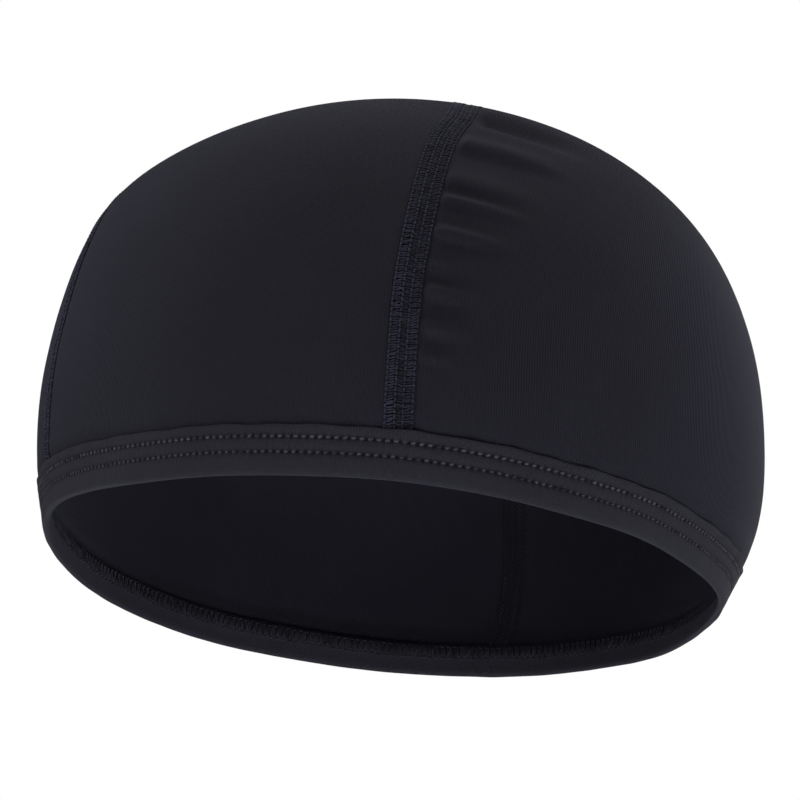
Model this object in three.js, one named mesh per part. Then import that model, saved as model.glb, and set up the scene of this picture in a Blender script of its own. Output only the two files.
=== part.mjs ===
// A close-fitting stretch cap for cycling, worn under a helmet. Four knitted crown
// panels meet in wide flat seams: one over the top from front to back, and one up
// each side. A folded binding holds the lower edge all round.
//
// Millimetres, +Z up, and the front faces -Y. The origin is the middle of the rim.
// Left and right are the wearer's, so the left side is at +X.
import * as THREE from 'three';

const DEGREE = Math.PI / 180;

// Overall sizes
const RIM_WIDTH = 160;
const RIM_LENGTH = 195;
const CROWN_HEIGHT = 109;

// Cloth
const CLOTH = 1.0;
const LAYER_GAP = 0.3;

// Binding
const BINDING_HEIGHT = 10.8;
const BINDING_HEIGHT_INSIDE = 8.8;
const BINDING_PROUD = 0.5;
const FOLD_SHARE = 0.33;
const CROWN_STEP_LENGTH = 2.6;

// Flat seams
const SEAM_WIDTH = 6.2;
const SEAM_PROUD = 0.4;
const SEAM_PROUD_INSIDE = 0.3;

// Waves of the rim, soft swells of the crown, and small folds beside the front seam
const RIM_WAVE = 3.2;
const SWELL_LIFT = 0.8;
const PUCKER_DEPTH = 1.1;

// The height that the swells lift the crown away from
const SWELL_MIDDLE = 30;

// Where the seams cross on top, as shares of half the width and half the length
const CROSSING_ASIDE = 0.085;
const CROSSING_BACK = -0.01;

// How much fuller the crown is behind the middle than before it
const FULLNESS_BEHIND = 0.05;

// Level sections of the crown, evenly spaced along its wall from the rim to the top.
// height is a share of CROWN_HEIGHT, width and aside are shares of half the rim's
// width, length and back are shares of half its length.
const SECTIONS = [
  { height: 0.000, width: 1.000, length: 1.000, aside: 0.000, back: 0.000 },
  { height: 0.193, width: 1.071, length: 1.041, aside: 0.014, back: 0.008 },
  { height: 0.391, width: 1.078, length: 1.046, aside: 0.008, back: 0.016 },
  { height: 0.585, width: 1.033, length: 0.998, aside: 0.000, back: 0.024 },
  { height: 0.757, width: 0.914, length: 0.882, aside: 0.001, back: 0.031 },
  { height: 0.879, width: 0.708, length: 0.704, aside: 0.017, back: 0.036 },
  { height: 0.951, width: 0.480, length: 0.481, aside: 0.035, back: 0.039 },
  { height: 0.988, width: 0.242, length: 0.242, aside: 0.041, back: 0.041 },
  { height: 1.000, width: 0.000, length: 0.000, aside: 0.041, back: 0.041 },
];

// How far the rim rises every 15 degrees round the cap, starting behind, as shares of
// RIM_WAVE. The wearer's right side comes first.
const RIM_RISES = [
  -0.63, -0.61, -0.60, -0.34, 0.04, 0.62, 1.01, 0.95, 0.43, -0.07, -0.24, -0.31,
  -0.22, -0.19, -0.18, 0.03, 0.02, 0.28, 0.67, 0.46, -0.01, -0.14, -0.40, -0.53,
];

// Soft swells and hollows of the crown: their middles as angles and ways, their
// spreads on the disc, and their lifts as shares of SWELL_LIFT
const SWELLS = [
  { angle: -81, way: 0.31, spread: 0.11, lift: -0.95 },
  { angle: -73, way: 0.41, spread: 0.11, lift: 1.05 },
  { angle: -34, way: 0.67, spread: 0.24, lift: 0.28 },
  { angle: -12, way: 0.67, spread: 0.24, lift: 0.25 },
  { angle: 12, way: 0.67, spread: 0.24, lift: -0.38 },
  { angle: 34, way: 0.67, spread: 0.24, lift: 0.34 },
  { angle: 44, way: 0.56, spread: 0.24, lift: 0.84 },
  { angle: 64, way: 0.56, spread: 0.24, lift: 0.15 },
  { angle: 66, way: 0.42, spread: 0.24, lift: -0.43 },
  { angle: 75, way: 0.26, spread: 0.24, lift: 0.15 },
  { angle: 95, way: 0.26, spread: 0.24, lift: 0.45 },
  { angle: 80, way: 0.08, spread: 0.24, lift: 0.36 },
  { angle: 100, way: 0.08, spread: 0.24, lift: -0.30 },
];

// Where the front and the right seam come in at the crossing, in degrees round the
// cap. The seams opposite go straight on from them.
const FRONT_HEADING = -4;
const RIGHT_HEADING = -88;

// Seam lines. way runs from 0 at the rim to 1 at the crossing, and angle is in
// degrees round the cap: 0 in front, 90 on the left, 180 behind.
const FRONT_SEAM = [
  { way: 0.00, angle: -0.2 },
  { way: 0.06, angle: -1.5 },
  { way: 0.14, angle: -2.5 },
  { way: 0.23, angle: -3.0 },
  { way: 0.34, angle: -2.8 },
  { way: 0.45, angle: -2.5 },
  { way: 0.50, angle: -2.0 },
  { way: 0.54, angle: -1.5 },
  { way: 0.60, angle: -2.1 },
  { way: 0.68, angle: -3.6 },
  { way: 1.00, angle: FRONT_HEADING },
];
const RIGHT_SEAM = [
  { way: 0.00, angle: -77.0 },
  { way: 0.04, angle: -75.7 },
  { way: 0.10, angle: -74.5 },
  { way: 0.17, angle: -73.5 },
  { way: 0.23, angle: -72.2 },
  { way: 0.30, angle: -71.2 },
  { way: 0.36, angle: -72.0 },
  { way: 0.41, angle: -75.0 },
  { way: 0.50, angle: -79.5 },
  { way: 0.70, angle: -85.5 },
  { way: 1.00, angle: RIGHT_HEADING },
];
const BACK_SEAM = [
  { way: 0.00, angle: 157.5 },
  { way: 0.15, angle: 159.0 },
  { way: 0.30, angle: 160.8 },
  { way: 0.65, angle: 163.5 },
  { way: 1.00, angle: across(FRONT_HEADING) },
];
const LEFT_SEAM = [
  { way: 0.00, angle: 96.0 },
  { way: 0.30, angle: 95.0 },
  { way: 0.60, angle: 91.0 },
  { way: 1.00, angle: across(RIGHT_HEADING) },
];

// Small folds that run from the front seam into the front left panel. from and to
// are ways at the seam and at the far end, reach is in degrees, depth is a share of
// PUCKER_DEPTH, and spread is a way.
const PUCKERS = [
  { from: 0.629, to: 0.590, reach: 24, depth: 0.80, spread: 0.024 },
  { from: 0.490, to: 0.487, reach: 21, depth: 1.00, spread: 0.020 },
  { from: 0.426, to: 0.410, reach: 8, depth: 0.45, spread: 0.012 },
  { from: 0.377, to: 0.375, reach: 13, depth: 0.80, spread: 0.012 },
  { from: 0.328, to: 0.330, reach: 13, depth: 0.80, spread: 0.012 },
  { from: 0.279, to: 0.277, reach: 9, depth: 0.55, spread: 0.011 },
  { from: 0.246, to: 0.247, reach: 9, depth: 0.60, spread: 0.011 },
  { from: 0.199, to: 0.200, reach: 9, depth: 0.45, spread: 0.011 },
  { from: 0.160, to: 0.158, reach: 7, depth: 0.35, spread: 0.010 },
];

// How finely the pieces are faceted
const BINDING_STATIONS = 64;
const SEAM_STATIONS = 24;
const FINE_STATIONS = 60;

const CROWN_COLOUR = 0x22252c;
const THREAD_COLOUR = 0x23284a;
const BINDING_COLOUR = 0x272a30;

// Vectors and numbers

function add(a, b, scale = 1) {
  return [a[0] + b[0] * scale, a[1] + b[1] * scale, a[2] + b[2] * scale];
}

function cross(a, b) {
  return [a[1] * b[2] - a[2] * b[1], a[2] * b[0] - a[0] * b[2], a[0] * b[1] - a[1] * b[0]];
}

function unit(a) {
  const size = Math.hypot(...a);
  return a.map((value) => value / size);
}

function distance(a, b) {
  return Math.hypot(a[0] - b[0], a[1] - b[1], a[2] - b[2]);
}

function mix(a, b, share) {
  return a + (b - a) * share;
}

function smooth(value) {
  const share = Math.min(1, Math.max(0, value));
  return share * share * (3 - 2 * share);
}

// The crown's outer surface

// A section by its number, carried on past the rim and mirrored past the top
function section(index) {
  const last = SECTIONS.length - 1;
  if (index < 0) {
    const rim = SECTIONS[0];
    const mirror = SECTIONS[-index];
    return {
      height: 2 * rim.height - mirror.height,
      width: 2 * rim.width - mirror.width,
      length: 2 * rim.length - mirror.length,
      aside: 2 * rim.aside - mirror.aside,
      back: 2 * rim.back - mirror.back,
    };
  }
  if (index > last) {
    const mirror = SECTIONS[2 * last - index];
    return { ...mirror, width: -mirror.width, length: -mirror.length };
  }
  return SECTIONS[index];
}

// A smooth curve through four values, between the second and the third
function curve(a, b, c, d, share) {
  const bend = 2 * a - 5 * b + 4 * c - d + share * (3 * b - 3 * c + d - a);
  return b + 0.5 * share * (c - a + share * bend);
}

function sectionAt(place) {
  const index = Math.min(Math.floor(place), SECTIONS.length - 2);
  const rows = [section(index - 1), section(index), section(index + 1), section(index + 2)];
  const value = (column) => curve(...rows.map((row) => row[column]), place - index);
  return {
    height: value('height'),
    width: value('width'),
    length: value('length'),
    aside: value('aside'),
    back: value('back'),
  };
}

function rimRise(turn) {
  const count = RIM_RISES.length;
  const place = (turn / DEGREE + 180) % 360 / 360 * count;
  const index = Math.floor(place);
  const rises = [-1, 0, 1, 2].map((step) => RIM_RISES[(index + step + count) % count]);
  return RIM_WAVE * curve(...rises, place - index);
}

function swellLift(x, y) {
  let lift = 0;
  for (const swell of SWELLS) {
    const [middleX, middleY] = discPlace(swell.angle, swell.way);
    const off = Math.hypot(x - middleX, y - middleY) / swell.spread;
    lift += SWELL_LIFT * swell.lift * Math.exp(-off * off);
  }
  return lift;
}

// The surface over a flat disc: the disc's edge is the rim and its middle is the top
function onDisc(x, y) {
  const out = Math.hypot(x, y);
  const turn = Math.atan2(x, -y);
  const row = sectionAt((1 - out) * (SECTIONS.length - 1));
  const fade = Math.max(0, 1 - 2 * Math.max(0, row.height)) ** 2;
  const full = 1 - FULLNESS_BEHIND * Math.cos(turn);
  const point = [
    RIM_WIDTH / 2 * (row.aside + row.width * Math.sin(turn) * full),
    RIM_LENGTH / 2 * (row.back - row.length * Math.cos(turn)),
    CROWN_HEIGHT * row.height + fade * rimRise(turn),
  ];
  return add(point, unit(add(point, [0, 0, -SWELL_MIDDLE])), swellLift(x, y));
}

// The place on the disc at an angle and a way from the rim to the crossing
function discPlace(angle, way) {
  return [
    (1 - way) * Math.sin(angle * DEGREE) + way * CROSSING_ASIDE,
    -(1 - way) * Math.cos(angle * DEGREE) + way * CROSSING_BACK,
  ];
}

// The angle at the far end of the chord that starts at an angle and runs through
// the crossing
function across(angle) {
  const [x, y] = [Math.sin(angle * DEGREE), -Math.cos(angle * DEGREE)];
  const [dx, dy] = [CROSSING_ASIDE - x, CROSSING_BACK - y];
  const reach = -2 * (x * dx + y * dy) / (dx * dx + dy * dy);
  return Math.atan2(x + reach * dx, -(y + reach * dy)) / DEGREE;
}

function surface(angle, way) {
  return onDisc(...discPlace(angle, way));
}

function normal(angle, way) {
  const [x, y] = discPlace(angle, way);
  const step = 0.002;
  const side = add(onDisc(x + step, y), onDisc(x - step, y), -1);
  const rear = add(onDisc(x, y + step), onDisc(x, y - step), -1);
  return unit(cross(side, rear));
}

// Length of the whole way up at an angle, going by its first stretch
function wayLength(angle) {
  return distance(surface(angle, 0), surface(angle, 0.04)) / 0.04;
}

// A point at a height in mm above the rim along the wall, and off the surface
function nearRim(angle, rise, off) {
  const way = rise / wayLength(angle);
  return add(surface(angle, way), normal(angle, way), off);
}

// The binding's heights above the rim and offsets from the crown's surface

const SLOT_OUTER = BINDING_PROUD - CLOTH;
const SLOT_INNER = SLOT_OUTER - CLOTH - 2 * LAYER_GAP;
const FOLD_HEIGHT = FOLD_SHARE * BINDING_HEIGHT;
const FOLD_SPREAD = 1.4 * (CLOTH + 2 * LAYER_GAP);
const SLOT_FLOOR = FOLD_HEIGHT + 1.4 * CLOTH;
const SLOT_SHOULDER = FOLD_HEIGHT + FOLD_SPREAD + 0.4 * CLOTH;
const CROWN_START = SLOT_SHOULDER + LAYER_GAP;

// Section of the binding, as heights above the rim and offsets from the surface.
// Its lower part is folded flat, and its upper part opens to hold the crown's edge.
const BINDING_SECTION = [
  { rise: 0, off: BINDING_PROUD - CLOTH },
  { rise: 0.3 * CLOTH, off: BINDING_PROUD - 0.3 * CLOTH },
  { rise: CLOTH, off: BINDING_PROUD },
  { rise: BINDING_HEIGHT - 0.4 * CLOTH, off: BINDING_PROUD },
  { rise: BINDING_HEIGHT, off: BINDING_PROUD - 0.4 * CLOTH },
  { rise: BINDING_HEIGHT, off: SLOT_OUTER },
  { rise: SLOT_FLOOR, off: SLOT_OUTER },
  { rise: SLOT_FLOOR, off: SLOT_OUTER - 0.8 * CLOTH },
  { rise: SLOT_SHOULDER, off: SLOT_INNER },
  { rise: BINDING_HEIGHT_INSIDE, off: SLOT_INNER },
  { rise: BINDING_HEIGHT_INSIDE, off: SLOT_INNER - CLOTH },
  { rise: FOLD_HEIGHT + FOLD_SPREAD, off: SLOT_INNER - CLOTH },
  { rise: FOLD_HEIGHT, off: BINDING_PROUD - 2 * CLOTH },
  { rise: CLOTH, off: BINDING_PROUD - 2 * CLOTH },
  { rise: 0.3 * CLOTH, off: BINDING_PROUD - 1.7 * CLOTH },
];

function bindingRings() {
  const rings = [];
  for (let station = 0; station < BINDING_STATIONS; station += 1) {
    const angle = 360 * station / BINDING_STATIONS;
    rings.push(BINDING_SECTION.map((point) => nearRim(angle, point.rise, point.off)));
  }
  return rings;
}

// Crown panels and seams

// How far the crown's outer face is off the surface: drawn in under the binding
function crownOff(angle, way) {
  const rise = way * wayLength(angle);
  const lift = smooth((rise - BINDING_HEIGHT - LAYER_GAP) / CROWN_STEP_LENGTH);
  return (SLOT_OUTER - LAYER_GAP) * (1 - lift);
}

// A value from a table of ways and angles, by a smooth curve through its rows
function seamAngle(seam, way) {
  const last = seam.length - 1;
  let index = 0;
  while (index < last - 1 && way > seam[index + 1].way) {
    index += 1;
  }
  const slope = (row) => {
    const before = seam[Math.max(0, row - 1)];
    const after = seam[Math.min(last, row + 1)];
    return (after.angle - before.angle) / (after.way - before.way);
  };
  const [start, end] = [seam[index], seam[index + 1]];
  const width = end.way - start.way;
  const share = (way - start.way) / width;
  const ease = smooth(share);
  return mix(start.angle, end.angle, ease)
    + width * share * (1 - share) * (slope(index) * (1 - share) - slope(index + 1) * share);
}

// The way of a crown row: rows start at one height above the rim all round
function rowWay(angle, row) {
  const start = CROWN_START / wayLength(angle);
  return start + (1 - start) * row;
}

function seamPoint(seam, row) {
  const angle = seamAngle(seam, row);
  const way = rowWay(angle, row);
  return { point: surface(angle, way), normal: normal(angle, way), off: crownOff(angle, way) };
}

// Rows where the cloth steps out of the binding, as shares of a panel's height
function edgeRows() {
  const whole = wayLength(0) - CROWN_START;
  const edge = BINDING_HEIGHT - CROWN_START;
  const steps = [0, 0.35, 0.65, 1.1];
  return [0, ...steps.map((step) => (edge + step * CROWN_STEP_LENGTH) / whole)];
}

// Stations of a seam from its end in the binding to a stop
function seamLine(seam, stop, count) {
  const rows = edgeRows();
  const start = rows[rows.length - 1];
  for (let station = 1; station <= count; station += 1) {
    rows.push(mix(start, stop, station / count));
  }
  return rows.map((row) => seamPoint(seam, row));
}

function centreLine(count) {
  return [...seamLine(FRONT_SEAM, 1, count), ...seamLine(BACK_SEAM, 1, count).reverse().slice(1)];
}

const CENTRE_LINE = centreLine(FINE_STATIONS);

function distanceToLine(point, line) {
  let nearest = Infinity;
  for (let index = 1; index < line.length; index += 1) {
    const start = line[index - 1].point;
    const step = add(line[index].point, start, -1);
    const toPoint = add(point, start, -1);
    const along = step[0] * toPoint[0] + step[1] * toPoint[1] + step[2] * toPoint[2];
    const share = Math.min(1, Math.max(0, along / (step[0] ** 2 + step[1] ** 2 + step[2] ** 2)));
    nearest = Math.min(nearest, distance(point, add(start, step, share)));
  }
  return nearest;
}

// Halves a range until the test changes from false to true at its end
function halve(low, high, test) {
  let [before, after] = [low, high];
  for (let pass = 0; pass < 26; pass += 1) {
    const middle = (before + after) / 2;
    if (test(middle)) {
      after = middle;
    } else {
      before = middle;
    }
  }
  return (before + after) / 2;
}

const BORDER = SEAM_WIDTH / 2 + LAYER_GAP;

// The row at which an edge of a side seam reaches the centre seam's border
function sideSeamStop(seam) {
  return halve(0.5, 1, (row) => {
    const station = seamPoint(seam, row);
    const ahead = unit(add(station.point, seamPoint(seam, row - 0.03).point, -1));
    const side = cross(ahead, station.normal);
    return [-SEAM_WIDTH / 2, 0, SEAM_WIDTH / 2].some((off) => (
      distanceToLine(add(station.point, side, off), CENTRE_LINE) < BORDER
    ));
  });
}

// Section across a seam: across is a share of half the width, rise is a share of how
// far it stands proud. Two raised bands of thread run beside a lower middle.
const SEAM_OUTSIDE = [
  { across: -1.00, rise: 0.0 },
  { across: -0.82, rise: 1.0 },
  { across: -0.28, rise: 0.8 },
  { across: 0.28, rise: 0.8 },
  { across: 0.82, rise: 1.0 },
  { across: 1.00, rise: 0.0 },
];
const SEAM_INSIDE = [
  { across: 1.0, rise: 0.0 },
  { across: 0.8, rise: 1.0 },
  { across: -0.8, rise: 1.0 },
  { across: -1.0, rise: 0.0 },
];

function seamRings(line) {
  return line.map((station, index) => {
    const before = line[Math.max(0, index - 1)].point;
    const after = line[Math.min(line.length - 1, index + 1)].point;
    const side = unit(cross(unit(add(after, before, -1)), station.normal));
    const proud = 1 + station.off / (LAYER_GAP - SLOT_OUTER);
    const outside = SEAM_OUTSIDE.map((row) => add(
      add(station.point, side, row.across * SEAM_WIDTH / 2),
      station.normal,
      station.off + row.rise * proud * SEAM_PROUD,
    ));
    const inside = SEAM_INSIDE.map((row) => add(
      add(station.point, side, row.across * SEAM_WIDTH / 2),
      station.normal,
      station.off - CLOTH - row.rise * proud * SEAM_PROUD_INSIDE,
    ));
    return [...outside, ...inside];
  });
}

// How far the small folds lift the cloth at a place of the front left panel. They
// die out towards the seam, where spare runs from 0 to 1.
function puckerLift(angle, row, spare) {
  const way = rowWay(angle, row);
  let lift = 0;
  for (const pucker of PUCKERS) {
    const reach = (angle - seamAngle(FRONT_SEAM, row)) / pucker.reach;
    if (reach < 1) {
      const crest = mix(pucker.from, pucker.to, reach);
      const off = (way - crest) / pucker.spread;
      lift += pucker.depth * (1 - reach * reach) ** 2 * (1 - off * off) * Math.exp(-off * off);
    }
  }
  return PUCKER_DEPTH * lift * smooth(spare);
}

// A panel between two seam lines, from its row in the binding up to its tip
function panelSheets(first, second, rows, columns, folded) {
  const firstLine = seamLine(first, 1, FINE_STATIONS);
  const secondLine = seamLine(second, 1, FINE_STATIONS);
  const ends = (row) => {
    let [start, end] = [seamAngle(first, row), seamAngle(second, row)];
    if (end < start) {
      end += 360;
    }
    const middle = (start + end) / 2;
    const spot = (angle) => surface(angle, rowWay(angle, row));
    const clear = (line) => (angle) => distanceToLine(spot(angle), line) > BORDER;
    return [
      halve(start, middle, clear(firstLine)),
      halve(end, middle, clear(secondLine)),
      middle,
    ];
  };
  const shut = (row) => {
    const [start, end, middle] = ends(row);
    return middle - start < 0.01 || end - middle < 0.01;
  };
  const tip = halve(0.8, 1, shut);
  const sheets = { outer: [], inner: [] };
  for (const share of [...rows, 1]) {
    const row = share * tip;
    const [start, end, middle] = ends(row);
    const angles = share === 1 ? [middle] : columns.map((column) => mix(start, end, column));
    const outer = [];
    const inner = [];
    for (const angle of angles) {
      const way = rowWay(angle, row);
      const spare = (angle - start) / 2.2;
      const lift = folded ? puckerLift(angle, row, spare) : 0;
      const off = crownOff(angle, way) + lift;
      outer.push(add(surface(angle, way), normal(angle, way), off));
      inner.push(add(surface(angle, way), normal(angle, way), off - CLOTH));
    }
    sheets.outer.push(outer);
    sheets.inner.push(inner);
  }
  return sheets;
}

// Meshes

function meshOf(name, points, faces, colour, roughness) {
  const geometry = new THREE.BufferGeometry();
  geometry.setAttribute('position', new THREE.Float32BufferAttribute(points.flat(), 3));
  geometry.setIndex(faces.flat());
  geometry.computeVertexNormals();
  const material = new THREE.MeshStandardMaterial({ color: colour, roughness, metalness: 0 });
  const mesh = new THREE.Mesh(geometry, material);
  mesh.name = name;
  return mesh;
}

// Skin over a row of rings, closed into a loop or with both ends covered
function skin(rings, looped) {
  const size = rings[0].length;
  const points = rings.flat();
  const faces = [];
  const spans = looped ? rings.length : rings.length - 1;
  for (let span = 0; span < spans; span += 1) {
    const here = span * size;
    const next = (span + 1) % rings.length * size;
    for (let index = 0; index < size; index += 1) {
      const after = (index + 1) % size;
      faces.push([here + index, here + after, next + after]);
      faces.push([here + index, next + after, next + index]);
    }
  }
  if (!looped) {
    const last = (rings.length - 1) * size;
    const middles = [rings[0], rings[rings.length - 1]].map((ring) => {
      const sum = ring.reduce((total, point) => add(total, point), [0, 0, 0]);
      return sum.map((value) => value / size);
    });
    const [first, second] = [points.length, points.length + 1];
    points.push(...middles);
    for (let index = 0; index < size; index += 1) {
      const after = (index + 1) % size;
      faces.push([first, after, index]);
      faces.push([second, last + index, last + after]);
    }
  }
  return { points, faces };
}

// Turns a solid's faces outward
function outward({ points, faces }) {
  let volume = 0;
  for (const [a, b, c] of faces) {
    const side = cross(points[b], points[c]);
    volume += points[a][0] * side[0] + points[a][1] * side[1] + points[a][2] * side[2];
  }
  return { points, faces: volume < 0 ? faces.map(([a, b, c]) => [a, c, b]) : faces };
}

function panelSolid({ outer, inner }) {
  const columns = outer[0].length;
  const rows = outer.length - 1;
  const points = [...outer.flat(), ...inner.flat()];
  const back = rows * columns + 1;
  const spot = (row, column) => (row === rows ? rows * columns : row * columns + column);
  const faces = [];
  const quad = (a, b, c, d) => {
    faces.push([a, b, c]);
    if (c !== d) {
      faces.push([a, c, d]);
    }
  };
  for (let row = 0; row < rows; row += 1) {
    for (let column = 0; column < columns - 1; column += 1) {
      const [a, b] = [spot(row, column), spot(row, column + 1)];
      const [c, d] = [spot(row + 1, column + 1), spot(row + 1, column)];
      quad(a, b, c, d);
      faces.push([back + b, back + a, back + c]);
      if (c !== d) {
        faces.push([back + a, back + d, back + c]);
      }
    }
    for (const column of [0, columns - 1]) {
      const [low, high] = [spot(row, column), spot(row + 1, column)];
      const wall = [[low, high, back + high], [low, back + high, back + low]];
      faces.push(...(column === 0 ? wall : wall.map(([a, b, c]) => [a, c, b])));
    }
  }
  for (let column = 0; column < columns - 1; column += 1) {
    const [a, b] = [spot(0, column), spot(0, column + 1)];
    faces.push([b, a, back + a], [b, back + a, back + b]);
  }
  return { points, faces };
}

// Even shares from 0 to 1
function even(count) {
  return Array.from({ length: count + 1 }, (unused, index) => index / count);
}

// Rows of a panel, as shares of its height: the edge rows, then stretches of even rows
function panelRows(stretches) {
  const rows = edgeRows();
  for (const { end, count } of stretches) {
    const start = rows[rows.length - 1];
    for (let index = 1; index <= count; index += 1) {
      rows.push(mix(start, end, index / count));
    }
  }
  return rows;
}

const PLAIN_ROWS = panelRows([{ end: 0.93, count: 16 }, { end: 0.985, count: 1 }]);
const FOLDED_ROWS = panelRows([
  { end: 0.14, count: 2 },
  { end: 0.53, count: 37 },
  { end: 0.69, count: 7 },
  { end: 0.94, count: 4 },
  { end: 0.985, count: 1 },
]);
const FOLDED_COLUMNS = [
  0, 0.014, 0.032, 0.053, 0.078, 0.107, 0.142, 0.186, 0.24, 0.305, 0.385, 0.47, 0.56, 0.65, 0.74,
  0.83, 0.915, 1,
];

function panel(name, first, second, rows, columns, colour, folded = false) {
  const sheets = panelSheets(first, second, rows, columns, folded);
  const { points, faces } = outward(panelSolid(sheets));
  return meshOf(name, points, faces, colour, 0.92);
}

function seam(name, line) {
  const { points, faces } = outward(skin(seamRings(line), false));
  return meshOf(name, points, faces, THREAD_COLOUR, 0.85);
}

function sideSeam(name, line) {
  return seam(name, seamLine(line, sideSeamStop(line), SEAM_STATIONS));
}

const group = new THREE.Group();
group.name = 'cycling_skull_cap';
group.add(panel('crown_panel_front_left', FRONT_SEAM, LEFT_SEAM, FOLDED_ROWS, FOLDED_COLUMNS,
  CROWN_COLOUR, true));
group.add(panel('crown_panel_front_right', RIGHT_SEAM, FRONT_SEAM, PLAIN_ROWS, even(12),
  CROWN_COLOUR));
group.add(panel('crown_panel_back_left', LEFT_SEAM, BACK_SEAM, PLAIN_ROWS, even(9),
  CROWN_COLOUR));
group.add(panel('crown_panel_back_right', BACK_SEAM, RIGHT_SEAM, PLAIN_ROWS, even(17),
  CROWN_COLOUR));
group.add(seam('centre_seam', centreLine(SEAM_STATIONS)));
group.add(sideSeam('side_seam_left', LEFT_SEAM));
group.add(sideSeam('side_seam_right', RIGHT_SEAM));

const binding = outward(skin(bindingRings(), true));
group.add(meshOf('edge_binding', binding.points, binding.faces, BINDING_COLOUR, 0.88));

export default group;
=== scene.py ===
"""A close-fitting stretch cap for cycling, with flat seams and a stitched, folded edge.

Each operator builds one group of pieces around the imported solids, in metres. The cap's
front faces -Y, and left and right are the wearer's, so the left side is at +X.
"""
import math

import bpy
import numpy as np
from bpy.props import FloatProperty, FloatVectorProperty, IntProperty, PointerProperty
from mathutils import Matrix


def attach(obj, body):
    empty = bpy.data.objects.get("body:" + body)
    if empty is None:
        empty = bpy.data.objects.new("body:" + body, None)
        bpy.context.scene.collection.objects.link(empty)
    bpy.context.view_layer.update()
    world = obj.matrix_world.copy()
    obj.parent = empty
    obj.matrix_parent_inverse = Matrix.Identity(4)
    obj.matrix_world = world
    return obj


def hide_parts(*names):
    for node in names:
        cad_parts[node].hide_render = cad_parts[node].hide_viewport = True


bl_info = {
    "name": "Cycling Skull Cap",
    "version": (1, 0, 0),
    "blender": (4, 5, 0),
    "location": "View3D > Sidebar > Skull Cap",
    "description": "Builds a close-fitting stretch cap with flat seams and a folded, stitched edge",
    "category": "Object",
}

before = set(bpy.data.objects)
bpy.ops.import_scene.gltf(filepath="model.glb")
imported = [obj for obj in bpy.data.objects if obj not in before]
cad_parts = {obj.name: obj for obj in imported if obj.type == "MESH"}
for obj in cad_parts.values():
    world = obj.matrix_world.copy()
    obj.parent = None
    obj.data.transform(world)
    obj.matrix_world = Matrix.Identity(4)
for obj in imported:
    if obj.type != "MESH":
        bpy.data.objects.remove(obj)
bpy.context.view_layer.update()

MM = 0.001

# Level sections of the crown, evenly spaced along its wall from the rim to the top:
# height, width, length, aside and back, as shares of the crown's height, half the
# rim's width and half its length.
SECTIONS = np.array([
    (0.000, 1.000, 1.000, 0.000, 0.000),
    (0.193, 1.071, 1.041, 0.014, 0.008),
    (0.391, 1.078, 1.046, 0.008, 0.016),
    (0.585, 1.033, 0.998, 0.000, 0.024),
    (0.757, 0.914, 0.882, 0.001, 0.031),
    (0.879, 0.708, 0.704, 0.017, 0.036),
    (0.951, 0.480, 0.481, 0.035, 0.039),
    (0.988, 0.242, 0.242, 0.041, 0.041),
    (1.000, 0.000, 0.000, 0.041, 0.041),
])

# How far the rim rises every 15 degrees round the cap, starting behind, as shares of
# the rim's wave. The wearer's right side comes first.
RIM_RISES = np.array([
    -0.63, -0.61, -0.60, -0.34, 0.04, 0.62, 1.01, 0.95, 0.43, -0.07, -0.24, -0.31,
    -0.22, -0.19, -0.18, 0.03, 0.02, 0.28, 0.67, 0.46, -0.01, -0.14, -0.40, -0.53,
])

# Soft swells and hollows of the crown: angle, way, spread on the disc, and lift as a
# share of the swells' size
SWELLS = (
    (-81, 0.31, 0.11, -0.95), (-73, 0.41, 0.11, 1.05),
    (-34, 0.67, 0.24, 0.28), (-12, 0.67, 0.24, 0.25), (12, 0.67, 0.24, -0.38),
    (34, 0.67, 0.24, 0.34), (44, 0.56, 0.24, 0.84), (64, 0.56, 0.24, 0.15),
    (66, 0.42, 0.24, -0.43), (75, 0.26, 0.24, 0.15), (95, 0.26, 0.24, 0.45),
    (80, 0.08, 0.24, 0.36), (100, 0.08, 0.24, -0.30),
)
SWELL_MIDDLE = np.array([0, 0, 0.030])

# Where the seams cross on top, as shares of half the rim's width and half its length
CROSSING = (0.085, -0.010)
FULLNESS_BEHIND = 0.05


def across(angle):
    """The angle at the far end of the chord from an angle through the crossing."""
    x, y = math.sin(math.radians(angle)), -math.cos(math.radians(angle))
    dx, dy = CROSSING[0] - x, CROSSING[1] - y
    reach = -2 * (x * dx + y * dy) / (dx * dx + dy * dy)
    return math.degrees(math.atan2(x + reach * dx, -(y + reach * dy)))


# Seam lines: the way up from the rim (0) to the crossing (1), and the angle round the
# cap in degrees: 0 in front, 90 on the left, 180 behind.
FRONT_SEAM = np.array([
    (0.0, -0.2), (0.06, -1.5), (0.14, -2.5), (0.23, -3.0), (0.34, -2.8), (0.45, -2.5),
    (0.5, -2.0), (0.54, -1.5), (0.6, -2.1), (0.68, -3.6), (1.0, -4.0),
])
RIGHT_SEAM = np.array([
    (0.0, -77.0), (0.04, -75.7), (0.1, -74.5), (0.17, -73.5), (0.23, -72.2), (0.3, -71.2),
    (0.36, -72.0), (0.41, -75.0), (0.5, -79.5), (0.7, -85.5), (1.0, -88.0),
])
BACK_SEAM = np.array([
    (0.0, 157.5), (0.15, 159.0), (0.3, 160.8), (0.65, 163.5), (1.0, across(-4.0)),
])
LEFT_SEAM = np.array([(0.0, 96.0), (0.3, 95.0), (0.6, 91.0), (1.0, across(-88.0))])

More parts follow.
